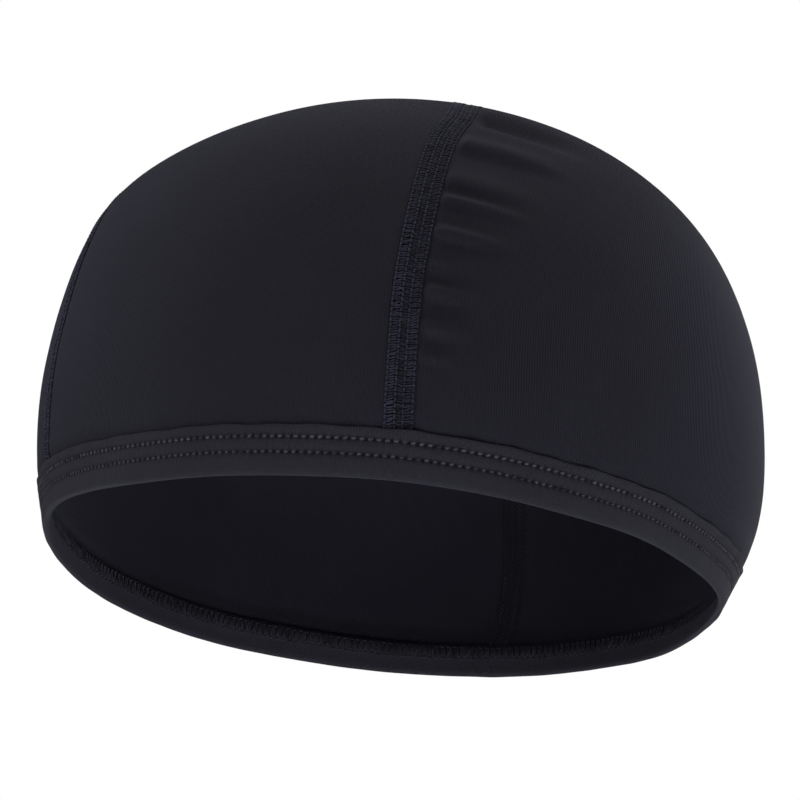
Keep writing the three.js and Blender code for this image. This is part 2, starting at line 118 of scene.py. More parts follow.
# Small folds that run from the front seam into the front left panel: the ways at the
# seam and at the far end, the reach in degrees, the lift in mm, and the spreads of the
# upper and the lower flank as ways. A negative lift is a groove.
PUCKERS = (
    (0.590, 0.558, 32, -2.45, 0.036, 0.040),
    (0.480, 0.476, 26, 1.40, 0.030, 0.016),
    (0.410, 0.404, 20, 0.80, 0.026, 0.016),
    (0.373, 0.368, 18, 1.15, 0.014, 0.011),
    (0.322, 0.318, 16, 1.40, 0.014, 0.011),
    (0.272, 0.268, 11, 0.75, 0.012, 0.010),
    (0.239, 0.236, 12, 1.30, 0.013, 0.011),
    (0.193, 0.190, 11, 1.30, 0.013, 0.011),
    (0.156, 0.154, 9, 0.70, 0.011, 0.009),
)


CHANNELS = {"size": 3, "min": 0, "max": 1}


class CapShape(bpy.types.PropertyGroup):
    rim_width: FloatProperty(
        name="Rim Width", description="Width of the rim", default=0.160, unit="LENGTH")
    rim_length: FloatProperty(
        name="Rim Length", description="Length of the rim from front to back",
        default=0.195, unit="LENGTH")
    crown_height: FloatProperty(
        name="Crown Height", description="Height of the crown above the rim",
        default=0.109, unit="LENGTH")
    rim_wave: FloatProperty(
        name="Rim Wave", description="How far the rim rises and falls round the cap",
        default=0.0032, unit="LENGTH")
    swell: FloatProperty(
        name="Swell", description="How far the crown's soft swells lift", default=0.0008,
        unit="LENGTH")
    cloth: FloatProperty(
        name="Cloth Thickness", description="Thickness of the crown's knit",
        default=0.0009, unit="LENGTH")
    wale_pitch: FloatProperty(
        name="Rib Pitch", description="Distance between the knit's fine ribs",
        default=0.00058, unit="LENGTH")
    crown_colour: FloatVectorProperty(
        name="Crown Colour", description="Colour of the crown's knit",
        default=(0.0083, 0.0083, 0.0133), subtype="COLOR", **CHANNELS)


class SeamShape(bpy.types.PropertyGroup):
    width: FloatProperty(
        name="Seam Width", description="Width of the flat seams", default=0.0062,
        unit="LENGTH")
    pitch: FloatProperty(
        name="Stitch Pitch", description="Length of one stitch of a flat seam",
        default=0.00115, unit="LENGTH")
    sink: FloatProperty(
        name="Seam Sink", description="How far the cloth is drawn in along the flat seams",
        default=0.00034, unit="LENGTH")
    colour: FloatVectorProperty(
        name="Thread Colour", description="Colour of the flat seams' thread",
        default=(0.008, 0.008, 0.020), subtype="COLOR", **CHANNELS)
    highlight: FloatVectorProperty(
        name="Thread Highlight", description="Colour of the brightest threads",
        default=(0.019, 0.019, 0.036), subtype="COLOR", **CHANNELS)


class BindingShape(bpy.types.PropertyGroup):
    height: FloatProperty(
        name="Binding Height", description="Height of the folded binding", default=0.0108,
        unit="LENGTH")
    proud: FloatProperty(
        name="Binding Relief", description="How far the binding stands off the crown's line",
        default=0.0005, unit="LENGTH")
    stitches: IntProperty(
        name="Stitches", description="Stitches in each row round the binding",
        default=322, min=60)
    upper_row: FloatProperty(
        name="Upper Row", description="Height of the upper row of stitches",
        default=0.0083, unit="LENGTH")
    lower_row: FloatProperty(
        name="Lower Row", description="Height of the lower row of stitches",
        default=0.0050, unit="LENGTH")
    colour: FloatVectorProperty(
        name="Binding Colour", description="Colour of the binding's knit",
        default=(0.0130, 0.0130, 0.0186), subtype="COLOR", **CHANNELS)
    thread_colour: FloatVectorProperty(
        name="Stitch Colour", description="Colour of the binding's stitches",
        default=(0.019, 0.019, 0.025), subtype="COLOR", **CHANNELS)
    highlight: FloatVectorProperty(
        name="Stitch Highlight", description="Colour of the brightest stitches",
        default=(0.042, 0.042, 0.054), subtype="COLOR", **CHANNELS)


# The crown's surface

def smooth(value):
    """Rises softly from 0 to 1 while a value does."""
    share = np.clip(value, 0, 1)
    return share * share * (3 - 2 * share)


def sections_at(place):
    """Rows of SECTIONS between its rows, by a smooth curve, for an array of places."""
    last = len(SECTIONS) - 1
    below = 2 * SECTIONS[0] - SECTIONS[2:0:-1]
    above = SECTIONS[last - 1:last - 3:-1] * np.array([1, -1, -1, 1, 1])
    rows = np.vstack([below, SECTIONS, above])
    index = np.clip(np.floor(place).astype(int), -1, last - 1)
    share = (place - index)[..., None]
    return smooth_curve(*(rows[index + 2 + step] for step in (-1, 0, 1, 2)), share)


def smooth_curve(a, b, c, d, share):
    """A smooth curve through four values, between the second and the third."""
    bend = 2 * a - 5 * b + 4 * c - d + share * (3 * b - 3 * c + d - a)
    return b + 0.5 * share * (c - a + share * bend)


def rim_rise(turn):
    """Rise of the rim at a turn round the cap, in radians."""
    count = len(RIM_RISES)
    place = (np.degrees(turn) + 180) % 360 / 360 * count
    index = np.floor(place).astype(int)
    rises = (RIM_RISES[(index + step) % count] for step in (-1, 0, 1, 2))
    return bpy.context.scene.cap_shape.rim_wave * smooth_curve(*rises, place - index)


def swell_lift(x, y):
    """Lift of the soft swells over the flat disc."""
    lift = np.zeros_like(x)
    for angle, way, spread, size in SWELLS:
        middle_x, middle_y = disc_place(angle, way)
        off = np.hypot(x - middle_x, y - middle_y) / spread
        lift += size * np.exp(-off * off)
    return lift * bpy.context.scene.cap_shape.swell


def on_disc(x, y):
    """Points of the crown over a flat disc, whose edge is the rim and middle the top."""
    shape = bpy.context.scene.cap_shape
    turn = np.arctan2(x, -y)
    rows = sections_at((1 - np.hypot(x, y)) * (len(SECTIONS) - 1))
    height, width, length, aside, back = np.moveaxis(rows, -1, 0)
    fade = np.maximum(0, 1 - 2 * np.maximum(0, height)) ** 2
    full = 1 - FULLNESS_BEHIND * np.cos(turn)
    points = np.stack([
        shape.rim_width / 2 * (aside + width * np.sin(turn) * full),
        shape.rim_length / 2 * (back - length * np.cos(turn)),
        shape.crown_height * height + fade * rim_rise(turn),
    ], -1)
    return points + unit(points - SWELL_MIDDLE) * swell_lift(x, y)[..., None]


def disc_place(angle, way):
    """Place on the flat disc of an angle round the cap and a way up to the crossing."""
    turn = np.radians(angle)
    return (
        (1 - way) * np.sin(turn) + way * CROSSING[0],
        -(1 - way) * np.cos(turn) + way * CROSSING[1],
    )


def unit(vectors):
    return vectors / np.linalg.norm(vectors, axis=-1, keepdims=True)


def travelled(points):
    """How far along a line of points each one lies."""
    steps = np.linalg.norm(np.diff(points, axis=0), axis=1)
    return np.concatenate([[0], np.cumsum(steps)])


def surface(angle, way):
    return on_disc(*disc_place(angle, way))


def normals(angle, way):
    """Outward normals of the crown's surface."""
    x, y = disc_place(angle, way)
    step = 0.002
    side = on_disc(x + step, y) - on_disc(x - step, y)
    rear = on_disc(x, y + step) - on_disc(x, y - step)
    return unit(np.cross(side, rear))


def way_length(angle):
    """Length of the whole way up at an angle, going by its first stretch."""
    share = 0.04
    first = surface(angle, np.full_like(angle, share)) - surface(angle, np.zeros_like(angle))
    return np.linalg.norm(first, axis=-1) / share


def seam_angle(seam, way):
    """Angles of a seam at an array of ways, by a smooth curve through its rows."""
    ways, angles = seam.T
    rows = np.arange(len(ways))
    before, after = np.maximum(rows - 1, 0), np.minimum(rows + 1, len(ways) - 1)
    slopes = (angles[after] - angles[before]) / (ways[after] - ways[before])
    index = np.clip(np.searchsorted(ways, way, side="right") - 1, 0, len(ways) - 2)
    width = ways[index + 1] - ways[index]
    share = (way - ways[index]) / width
    base = angles[index] + (angles[index + 1] - angles[index]) * smooth(share)
    lean = slopes[index] * (1 - share) - slopes[index + 1] * share
    return base + width * share * (1 - share) * lean


# Layers at the edge

# Rise at which the crown starts inside the binding
CROWN_START = 6.6 * MM

# How deep the crown lies under the binding, how far inside the edge it starts to come
# out, and over what rise
TUCK_DEPTH = 0.2 * MM
TUCK_LAP = 0.2 * MM
TUCK_LENGTH = 2.4 * MM

# The bulge above the binding: height, spread and place over the edge
BULGE_HEIGHT = 0.10 * MM
BULGE_SPREAD = 1.8 * MM
BULGE_PLACE = 3.4 * MM

# Waves of the cloth over the flat disc: lean in radians, radians for each unit of the
# disc, phase and height in mm
CLOTH_WAVES = (
    (0.3, 11.0, 0.4, 0.03), (1.9, 15.0, 2.1, 0.03), (2.6, 19.0, 4.4, 0.03),
    (0.9, 25.0, 1.3, 0.025), (1.5, 33.0, 5.2, 0.02),
)


def crown_off(rise):
    """How far the crown stands off its line near the binding, at a rise above the rim."""
    edge = bpy.context.scene.cap_binding.height
    lift = smooth((rise - edge + TUCK_LAP) / TUCK_LENGTH)
    bulge = np.exp(-((rise - edge - BULGE_PLACE) / BULGE_SPREAD) ** 2)
    return -TUCK_DEPTH * (1 - lift) + BULGE_HEIGHT * bulge


def way_and_rise(angle, row):
    """Ways and rises at an angle, for rows that count from the crown's start."""
    length = way_length(angle)
    start = CROWN_START / length
    way = start + (1 - start) * row
    return way, way * length


def unevenness(x, y):
    """Soft irregular swells of the cloth, from a few fixed waves over the disc."""
    swell = np.zeros_like(x)
    for lean, pitch, phase, size in CLOTH_WAVES:
        swell += size * np.sin(pitch * (x * math.cos(lean) + y * math.sin(lean)) + phase)
    return swell * MM


# Meshes

# A UV map's units for each metre of cloth
UV_SCALE = 10

# Angles in degrees between faces that are still shaded as one
CLOTH_EDGE = 60
BINDING_EDGE = 70
THREAD_EDGE = 80


def in_scene(name, data):
    """A new object of a mesh, light or camera."""
    piece = bpy.data.objects.new(name, data)
    bpy.context.scene.collection.objects.link(piece)
    return piece


def make_object(name, points, faces, uvs):
    """A new mesh object with a UV map in units of 100 mm, one pair for each face corner."""
    mesh = bpy.data.meshes.new(name)
    mesh.from_pydata(points.tolist(), [], faces.tolist())
    layer = mesh.uv_layers.new(name="cloth")
    layer.data.foreach_set("uv", uvs.astype(np.float32).ravel())
    mesh.validate()
    mesh.update()
    return in_scene(name, mesh)


def finish_piece(piece, material, angle, nodes=()):
    """Shades a piece, gives it its material and seats it on the cap."""
    piece.data.materials.append(material)
    bpy.ops.object.select_all(action="DESELECT")
    piece.select_set(True)
    bpy.context.view_layer.objects.active = piece
    bpy.ops.object.shade_smooth_by_angle(angle=math.radians(angle))
    piece.select_set(False)
    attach(piece, "root")
    if nodes:
        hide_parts(*nodes)


def grid_faces(rows, columns, wrap=False):
    """Corner indices of a grid's quads, and each corner's row and column."""
    row = np.arange(rows if wrap else rows - 1)[:, None]
    column = np.arange(columns if wrap else columns - 1)[None, :]
    corners = []
    places = []
    for down, along in ((0, 0), (0, 1), (1, 1), (1, 0)):
        r, c = np.broadcast_arrays(row + down, column + along)
        corners.append((r % rows) * columns + c % columns)
        places.append(np.stack([r, c], -1))
    return (
        np.stack(corners, -1).reshape(-1, 4),
        np.stack(places, -2).reshape(-1, 4, 2),
    )


def face_normals(points, faces):
    """The faces' first corners and their unscaled normals, for points in any grid."""
    a, b, d = (points.reshape(-1, 3)[faces[:, corner]] for corner in (0, 1, 3))
    return a, np.cross(b - a, d - a)


def wall_shell(name, outer, inner, uv):
    """A closed wall between two grids of points, with the UV of each grid place."""
    rows, columns = outer.shape[:2]
    count = rows * columns
    faces, _ = grid_faces(rows, columns)
    index = np.arange(count).reshape(rows, columns)
    edges = np.concatenate([
        index[0, :], index[1:, -1], index[-1, -2::-1], index[-2:0:-1, 0],
    ])
    following = np.roll(edges, -1)
    walls = np.stack([edges, edges + count, following + count, following], -1)
    _, towards = face_normals(outer, faces)
    out = (outer - inner).reshape(-1, 3)[faces[:, 0]]
    if np.sum(towards * out) <= 0:
        faces, walls = faces[:, ::-1], walls[:, ::-1]
    quads = np.concatenate([faces, faces[:, ::-1] + count, walls])
    flat = uv.reshape(-1, 2)
    uvs = np.concatenate([flat, flat])[quads.ravel()]
    points = np.concatenate([outer.reshape(-1, 3), inner.reshape(-1, 3)])
    return make_object(name, points, quads, uvs)


# Stitches: sides, rings, and length, width and height in mm
STITCHES = {
    "strand": (6, 5, 1.75, 0.40, 0.34),
    "needle_stitch": (6, 5, 1.0, 0.44, 0.42),
    "loop": (6, 4, 1.9, 0.42, 0.36),
    "looper_leg": (6, 4, 3.4, 0.44, 0.46),
    "looper_turn": (6, 4, 1.2, 0.46, 0.44),
    "stitch": (8, 6, 1.05, 0.64, 0.52),
}


def stitch_template(name, size=1.0):
    """A rounded stitch along X, modelled from a sphere, as points and faces."""
    sides, rings, length, width, height = STITCHES[name]
    bpy.ops.mesh.primitive_uv_sphere_add(
        segments=sides, ring_count=rings, radius=0.5, rotation=(0, math.pi / 2, 0))
    stitch = bpy.context.active_object
    stitch.name = name
    stitch.scale = (height * size * MM, width * size * MM, length * size * MM)
    bpy.ops.object.transform_apply(location=False, rotation=True, scale=True)
    mesh = stitch.data
    points = np.array([vertex.co[:] for vertex in mesh.vertices])
    faces = [list(face.vertices) for face in mesh.polygons]
    bpy.data.objects.remove(stitch)
    return points, faces


def repeated(name, parts):
    """One mesh of many copies. Each part is a template, its frames and their shades."""
    points = []
    faces = []
    shades = []
    total = 0
    for (shape, sides), frames, shade in parts:
        shades.append(np.repeat(np.broadcast_to(shade, len(frames)), len(shape)))
        placed = np.einsum("nij,pj->npi", frames[:, :3, :3], shape) + frames[:, None, :3, 3]
        points.append(placed.reshape(-1, 3))
        for copy in range(len(frames)):
            start = total + copy * len(shape)
            faces.extend([[start + corner for corner in side] for side in sides])
        total += len(frames) * len(shape)
    mesh = bpy.data.meshes.new(name)
    mesh.from_pydata(np.concatenate(points).tolist(), [], faces)
    layer = mesh.attributes.new("shade", "FLOAT", "POINT")
    layer.data.foreach_set("value", np.concatenate(shades).astype(np.float32))
    mesh.update()
    return in_scene(name, mesh)


def frames_of(points, along, out):
    """Matrices whose X runs along a line and whose Z points out of the cloth."""
    along = unit(along)
    side = unit(np.cross(out, along))
    out = np.cross(along, side)
    frames = np.tile(np.eye(4), (len(points), 1, 1))
    frames[:, :3] = np.stack([along, side, out, points], -1)
    return frames


def turned(frames, degrees, shift=(0, 0, 0)):
    """Frames moved in their own axes, then turned about their Z axis."""
    turn = np.radians(np.broadcast_to(degrees, len(frames)))
    local = np.tile(np.eye(4), (len(frames), 1, 1))
    local[:, 0, 0] = local[:, 1, 1] = np.cos(turn)
    local[:, 1, 0] = np.sin(turn)
    local[:, 0, 1] = -local[:, 1, 0]
    for axis in range(3):
        local[:, axis, 3] = shift[axis]
    return frames @ local


# Materials

def shader(name, base, roughness, sheen, sheen_tint, specular):
    """A new material, its node tree and its Principled shader."""
    material = bpy.data.materials.new(name)
    material.use_nodes = True
    tree = material.node_tree
    principled = tree.nodes["Principled BSDF"]
    for socket, value in (
        ("Base Color", (*base, 1)), ("Roughness", roughness), ("Sheen Weight", sheen),
        ("Sheen Roughness", 0.35), ("Sheen Tint", (*sheen_tint, 1)),
        ("Specular IOR Level", specular),
    ):
        principled.inputs[socket].default_value = value
    return material, tree, principled


def math_node(tree, operation, first, second):
    """Adds or multiplies two values, each a number or a socket."""
    node = tree.nodes.new("ShaderNodeMath")
    node.operation = operation
    for socket, value in zip(node.inputs, (first, second)):
        if isinstance(value, float):
            socket.default_value = value
        else:
            tree.links.new(value, socket)
    return node.outputs[0]


def add_share(tree, first, second, share):
    """The first value and a share of the second."""
    return math_node(tree, "ADD", first, math_node(tree, "MULTIPLY", second, share))


def wave_node(tree, vector, direction, pitch, distortion):
    """A sine band texture of a pitch, in the units of its vector."""
    node = tree.nodes.new("ShaderNodeTexWave")
    node.wave_type = "BANDS"
    node.bands_direction = direction
    node.wave_profile = "SIN"
    node.inputs["Scale"].default_value = 2 * math.pi / (20 * pitch)
    node.inputs["Distortion"].default_value = distortion
    node.inputs["Detail"].default_value = 1.0
    node.inputs["Detail Scale"].default_value = 1.5
    tree.links.new(vector, node.inputs["Vector"])
    return node.outputs["Fac"]


def noise_node(tree, vector, scale, detail):
    node = tree.nodes.new("ShaderNodeTexNoise")
    node.inputs["Scale"].default_value = scale
    node.inputs["Detail"].default_value = detail
    tree.links.new(vector, node.inputs["Vector"])
    return node.outputs["Fac"]


def colour_between(tree, factor, first, second, low, high):
    """A colour that goes from the first to the second while a factor goes from low to high."""
    ramp = tree.nodes.new("ShaderNodeValToRGB")
    ends = ((low, first), (high, second))
    for element, (place, colour) in zip(ramp.color_ramp.elements, ends):
        element.position = place
        element.color = (*colour, 1)
    tree.links.new(factor, ramp.inputs["Fac"])
    return ramp.outputs["Color"]


def scaled(colour, factor):
    return tuple(channel * factor for channel in colour)


def object_place(tree):
    return tree.nodes.new("ShaderNodeTexCoord").outputs["Object"]


def add_bump(tree, principled, height, strength, distance):
    bump = tree.nodes.new("ShaderNodeBump")
    bump.inputs["Strength"].default_value = strength
    bump.inputs["Distance"].default_value = distance
    tree.links.new(height, bump.inputs["Height"])
    tree.links.new(bump.outputs["Normal"], principled.inputs["Normal"])


def attribute_node(tree, name):
    node = tree.nodes.new("ShaderNodeAttribute")
    node.attribute_name = name
    return node.outputs["Fac"]


# The knit: the loops' pitch as a share of the ribs', what loops and fibres add to the
# relief, the shades of its colour, which is painted darker as shade where the ribs and
# loops lie low and mottled at random, the painted shade in stitch holes, and the tints
# of the sheen
LOOP_PITCH = 0.65
LOOP_SHARE = 0.45
FIBRE_SHARE = 0.5
KNIT_SHADES = (0.62, 1.4)
HOLE_PAINTED_SHADE = 0.15
KNIT_SHEEN = (0.7, 0.7, 1.0)
SEAM_SHEEN = (0.75, 0.75, 1.0)
BINDING_SHEEN = (0.8, 0.8, 1.0)
THREAD_SHEEN = (0.7, 0.75, 1.0)


def knit_material(name, colour, wale, relief, sheen, sheen_tint, hole_shade_attribute=None):
    """Fine vertical ribs crossed by rows of loops, with a slight mottle. Their low parts
    are painted darker as shade, and so are the stitch dents where an attribute is named.
    """
    material, tree, principled = shader(name, colour, 0.86, sheen, sheen_tint, 0.12)
    cloth = tree.nodes.new("ShaderNodeUVMap")
    cloth.uv_map = "cloth"
    place = object_place(tree)
    ribs = wave_node(tree, cloth.outputs["UV"], "X", wale * UV_SCALE, 0.25)
    loops = wave_node(tree, cloth.outputs["UV"], "Y", wale * LOOP_PITCH * UV_SCALE, 0.35)
    fibres = noise_node(tree, place, 2600, 2.0)
    mottle = noise_node(tree, place, 42, 3.0)
    weave = add_share(tree, ribs, loops, LOOP_SHARE)
    add_bump(tree, principled, add_share(tree, weave, fibres, FIBRE_SHARE), 1.0, relief)
    # Painted shade: the colour follows the weave's height, darker where the ribs and loops lie low,
    # with a random mottle added
    shade = add_share(tree, math_node(tree, "MULTIPLY", weave, 0.45), mottle, 0.45)
    dark, light = (scaled(colour, factor) for factor in KNIT_SHADES)
    tint = colour_between(tree, shade, dark, light, 0.1, 0.9)
    # Painted shade: where the attribute is named, the colour darkens at the stitch holes towards a
    # small share of itself
    if hole_shade_attribute:
        darker = tree.nodes.new("ShaderNodeMix")
        darker.data_type = "RGBA"
        tree.links.new(attribute_node(tree, hole_shade_attribute), darker.inputs[0])
        tree.links.new(tint, darker.inputs[6])
        darker.inputs[7].default_value = (*scaled(colour, HOLE_PAINTED_SHADE), 1)
        tint = darker.outputs[2]
    tree.links.new(tint, principled.inputs["Base Color"])
    rough = add_share(tree, 0.78, fibres, 0.14)
    tree.links.new(rough, principled.inputs["Roughness"])
    return material


def thread_material(name, colour, highlight, roughness, specular):
    """Filament thread, whose shade changes from stitch to stitch."""
    material, tree, principled = shader(name, colour, roughness, 0.12, THREAD_SHEEN, specular)
    place = object_place(tree)
    patches = noise_node(tree, place, 160, 2.0)
    strands = noise_node(tree, place, 5200, 1.0)
    shade = add_share(tree, attribute_node(tree, "shade"), patches, 0.4)
    tint = colour_between(tree, shade, scaled(colour, 0.33), highlight, 0.2, 1.2)
    tree.links.new(tint, principled.inputs["Base Color"])
    add_bump(tree, principled, strands, 0.5, 0.05 * MM)
    return material


def floor_material():
    """A pale floor with a glow that is seen but lights nothing."""
    material, tree, principled = shader(
        "pale_floor", FLOOR_COLOUR, 0.8, 0.0, (1, 1, 1), 0.2)
    grain = noise_node(tree, object_place(tree), 9, 2.0)
    tint = colour_between(tree, grain, scaled(FLOOR_COLOUR, 0.985), FLOOR_COLOUR, 0.3, 0.7)
    tree.links.new(tint, principled.inputs["Base Color"])
    emission = tree.nodes.new("ShaderNodeEmission")
    seen = tree.nodes.new("ShaderNodeLightPath").outputs["Is Camera Ray"]
    strength = math_node(tree, "MULTIPLY", seen, FLOOR_GLOW)
    tree.links.new(strength, emission.inputs["Strength"])
    both = tree.nodes.new("ShaderNodeAddShader")
    tree.links.new(principled.outputs[0], both.inputs[0])
    tree.links.new(emission.outputs[0], both.inputs[1])
    tree.links.new(both.outputs[0], tree.nodes["Material Output"].inputs["Surface"])
    return material


# Crown panels

# Grid lines of a panel, up along its seams and across from seam to seam: stretches with
# their start, end and step
PLAIN_ROWS = ((0, 0.08, 0.0035), (0.08, 0.9, 0.0095), (0.9, 0.998, 0.0055))
PLAIN_COLUMNS = ((0, 0.06, 0.006), (0.06, 0.94, 0.022), (0.94, 1, 0.006))
FOLDED_ROWS = (
    (0, 0.66, 0.0035), (0.66, 0.72, 0.006), (0.72, 0.9, 0.0095), (0.9, 0.998, 0.0055))
FOLDED_COLUMNS = (
    (0, 0.05, 0.0035), (0.05, 0.3, 0.0075), (0.3, 0.94, 0.021), (0.94, 1, 0.006))

# Panels: name, solid, and the seams that each starts and ends at. The first is folded.
PANELS = (
    ("knit_front_left", "crown_panel_front_left", FRONT_SEAM, LEFT_SEAM),
    ("knit_front_right", "crown_panel_front_right", RIGHT_SEAM, FRONT_SEAM),
    ("knit_back_left", "crown_panel_back_left", LEFT_SEAM, BACK_SEAM),
    ("knit_back_right", "crown_panel_back_right", BACK_SEAM, RIGHT_SEAM),
)

# Length of the way up from the rim to the crossing, in mm
WAY_MM = 173

# The cloth at a seam: its gap to the middle line, how far inside the seam's edge it
# starts to rise, and over what width
SEAM_GAP = 0.06 * MM
SEAM_LAP = 0.3 * MM
SEAM_FADE = 1.6 * MM

# Ripples beside a seam, and gathers over the binding: their pitch or their waves for
# each radian, height, spread and place
RIPPLE_PITCH_MM = 4.3
RIPPLE_HEIGHT = 0.04 * MM
RIPPLE_SPREAD = 2.2 * MM
GATHER_RATE = 118
GATHER_HEIGHT = 0.05 * MM
GATHER_SPREAD = 1.5 * MM
GATHER_RISE = 12.2 * MM


def even_steps(stretches):
    """Rising values, from stretches of start, end and step."""
    values = [stretches[0][0]]
    for start, end, step in stretches:
        count = round((end - start) / step)
        values.extend(start + (end - start) * index / count for index in range(1, count + 1))
    return np.array(values)


def pucker_lift(angle, way, row, from_edge):
    """Lift of the small folds. The higher ones take longer to rise beside the seam."""
    lift = np.zeros_like(angle)
    for start, end, reach, size, upper, lower in PUCKERS:
        run = (angle - seam_angle(FRONT_SEAM, row)) / reach
        crest = start + (end - start) * run
        off = (way - crest) / np.where(way > crest, upper, lower)
        swell = (1 - off * off) * np.exp(-off * off)
        rise = smooth(from_edge / ((1.2 + 1.1 * abs(size)) * MM))
        lift += size * rise * np.clip(1 - run ** 4, 0, 1) ** 2 * swell
    return lift * MM


def crown_panel(name, first, second):
    """A panel from one seam's middle line to the next, tucked into the binding."""
    shape, seam = bpy.context.scene.cap_shape, bpy.context.scene.cap_seam
    folded = first is FRONT_SEAM
    rows = even_steps(FOLDED_ROWS if folded else PLAIN_ROWS)
    columns = even_steps(FOLDED_COLUMNS if folded else PLAIN_COLUMNS)
    row, column = np.meshgrid(rows, columns, indexing="ij")
    start, end = seam_angle(first, row), seam_angle(second, row)
    end = np.where(end < start, end + 360, end)
    round_at = np.linalg.norm(
        surface(start + 0.5, row) - surface(start - 0.5, row), axis=-1) + 1e-6
    inset = np.minimum(SEAM_GAP / round_at, (end - start) * 0.45)
    angle = start + inset + (end - start - 2 * inset) * column
    way, rise = way_and_rise(angle, row)
    base, out = surface(angle, way), normals(angle, way)
    past_seam = np.minimum(angle - start, end - angle) * round_at - seam.width / 2
    from_edge = past_seam + SEAM_LAP
    off = crown_off(rise) + unevenness(*disc_place(angle, way))
    off = off - seam.sink * (1 - smooth(from_edge / SEAM_FADE))
    ripple = np.sin(way * WAY_MM / RIPPLE_PITCH_MM * 2 * math.pi + 1.3 * np.sin(way * 41))
    off = off + RIPPLE_HEIGHT * ripple * np.exp(-(past_seam / RIPPLE_SPREAD) ** 2)
    turn = np.radians(angle)
    gather = np.sin(turn * GATHER_RATE + 1.7 * np.sin(turn * 9))
    off = off + GATHER_HEIGHT * gather * np.exp(-((rise - GATHER_RISE) / GATHER_SPREAD) ** 2)
    if folded:
        off = off + pucker_lift(angle, way, row, from_edge)
    outer = base + out * off[..., None]
    inner = outer - out * shape.cloth
    centre = start if folded or first is BACK_SEAM else end
    uv = np.stack([(angle - centre) * round_at, way * WAY_MM * MM], -1) * UV_SCALE
    return wall_shell(name, outer, inner, uv)


class CAP_OT_crown(bpy.types.Operator):
    """Builds the four knitted panels of the crown"""
    bl_idname = "cap.crown"
    bl_label = "Crown Panels"

    def execute(self, context):
        shape = context.scene.cap_shape
        material = knit_material(
            "crown_knit", shape.crown_colour, shape.wale_pitch, 0.08 * MM, 0.06, KNIT_SHEEN)
        for name, node, first, second in PANELS:
            piece = crown_panel(name, first, second)
            finish_piece(piece, material, CLOTH_EDGE, [node])
        return {"FINISHED"}


# Flat seams

RUN_POINTS = 900

# Section of a seam's tape: shares of half the seam's width, and rises in mm. Its other
# side lies a little deeper.
TAPE_SECTION = np.array([
    (-1.0, 0.0), (-0.97, 0.10), (-0.86, 0.19), (-0.4, 0.22), (0.0, 0.19),
    (0.4, 0.20), (0.86, 0.17), (0.97, 0.10), (1.0, 0.0),
])
TAPE_STEP = 0.9 * MM
TAPE_DEPTH = 0.08 * MM

# The outside of a flat seam, from the wearer's left to the right on the front: places
# across it in mm, heights above the cloth in mm, shades, and the bands' leans
NEEDLE_LINES = (
    (-2.84, 0.27, 0.46), (-0.92, 0.29, 0.52), (0.88, 0.33, 0.72), (2.84, 0.31, 0.74))
THREAD_BANDS = ((-1.88, 0.27, 0.30, 13), (-0.02, 0.22, 0.20, -13), (1.88, 0.34, 0.50, 13))

# The inside: places across in mm and leans of the loops, and their height in mm
INSIDE_LOOPS = ((-1.9, 42), (0.0, -42), (1.9, 42))
INSIDE_HEIGHT = 0.3


def seam_run(seam):
    """Points and normals along a seam's middle, from the binding up to the crossing."""
    row = np.linspace(0, 1, RUN_POINTS)
    angle = seam_angle(seam, row)
    way, rise = way_and_rise(angle, row)
    out = normals(angle, way)
    return surface(angle, way) + out * crown_off(rise)[:, None], out


def centre_run():
    """The centre seam's run, from the front binding over the top to the back."""
    front, front_out = seam_run(FRONT_SEAM)
    back, back_out = seam_run(BACK_SEAM)
    return (
        np.concatenate([front, back[-2::-1]]),
        np.concatenate([front_out, back_out[-2::-1]]),
    )


def side_run(seam):
    """A side seam's run, cut off where it meets the edge of the centre seam."""
    points, out = seam_run(seam)
    middle, _ = centre_run()
    gaps = np.linalg.norm(points[:, None] - middle[None, ::4], axis=-1).min(1)
    clear = gaps > bpy.context.scene.cap_seam.width / 2 + 0.1 * MM
    return points[clear], out[clear]


def evenly(points, out, pitch):
    """Stations at an even pitch along a run: points, directions and normals."""
    lengths = travelled(points)
    count = int(lengths[-1] / pitch)
    marks = (np.arange(count) + 0.5) * lengths[-1] / count
    place, normal = (
        np.stack([np.interp(marks, lengths, values[:, axis]) for axis in range(3)], -1)
        for values in (points, out))
    along = unit(np.gradient(place, axis=0))
    return place, along, unit(normal)


def seam_tape(name, run, side):
    """The cloth under the threads: a low ribbon with rounded edges on one face."""
    seam, shape = bpy.context.scene.cap_seam, bpy.context.scene.cap_shape
    points, along, out = evenly(*run, TAPE_STEP)
    shares, rises = TAPE_SECTION.T
    aside = shares * seam.width / 2
    face = -seam.sink if side > 0 else -seam.sink - shape.cloth
    lift = face + side * (rises * MM)
    spread = np.cross(along, out)[:, None] * aside[None, :, None]
    top = points[:, None] + spread + out[:, None] * lift[None, :, None]
    bottom = points[:, None] + spread + out[:, None] * (face - side * TAPE_DEPTH)
    length = np.arange(len(points))[:, None] * TAPE_STEP
    uv = np.stack(np.broadcast_arrays(aside[None, :], length), -1)
    return wall_shell(name, top, bottom, uv * UV_SCALE)


def outside_threads(run):
    """Three bands of short threads that lie across the seam, between four needle lines."""
    seam = bpy.context.scene.cap_seam
    points, along, out = evenly(*run, seam.pitch)
    frames = frames_of(points - out * seam.sink, along, out)
    strand = stitch_template("strand")
    needle = stitch_template("needle_stitch")
    rng = np.random.default_rng(7)
    parts = []
    for place, height, shade, lean in THREAD_BANDS:
        for step in (-0.25, 0.25):
            stray = rng.normal(step, 0.05, len(frames)) * seam.pitch
            spots = turned(frames, 90, (stray, place * MM, height * MM))
            spots = turned(spots, lean + rng.normal(0, 6, len(frames)))
            parts.append((strand, spots, shade + rng.normal(0, 0.20, len(frames))))
    for place, height, shade in NEEDLE_LINES:
        spots = turned(frames, rng.normal(0, 7, len(frames)),
                       (0.5 * seam.pitch, place * MM, height * MM))
        parts.append((needle, spots, shade + rng.normal(0, 0.22, len(frames))))
    return parts


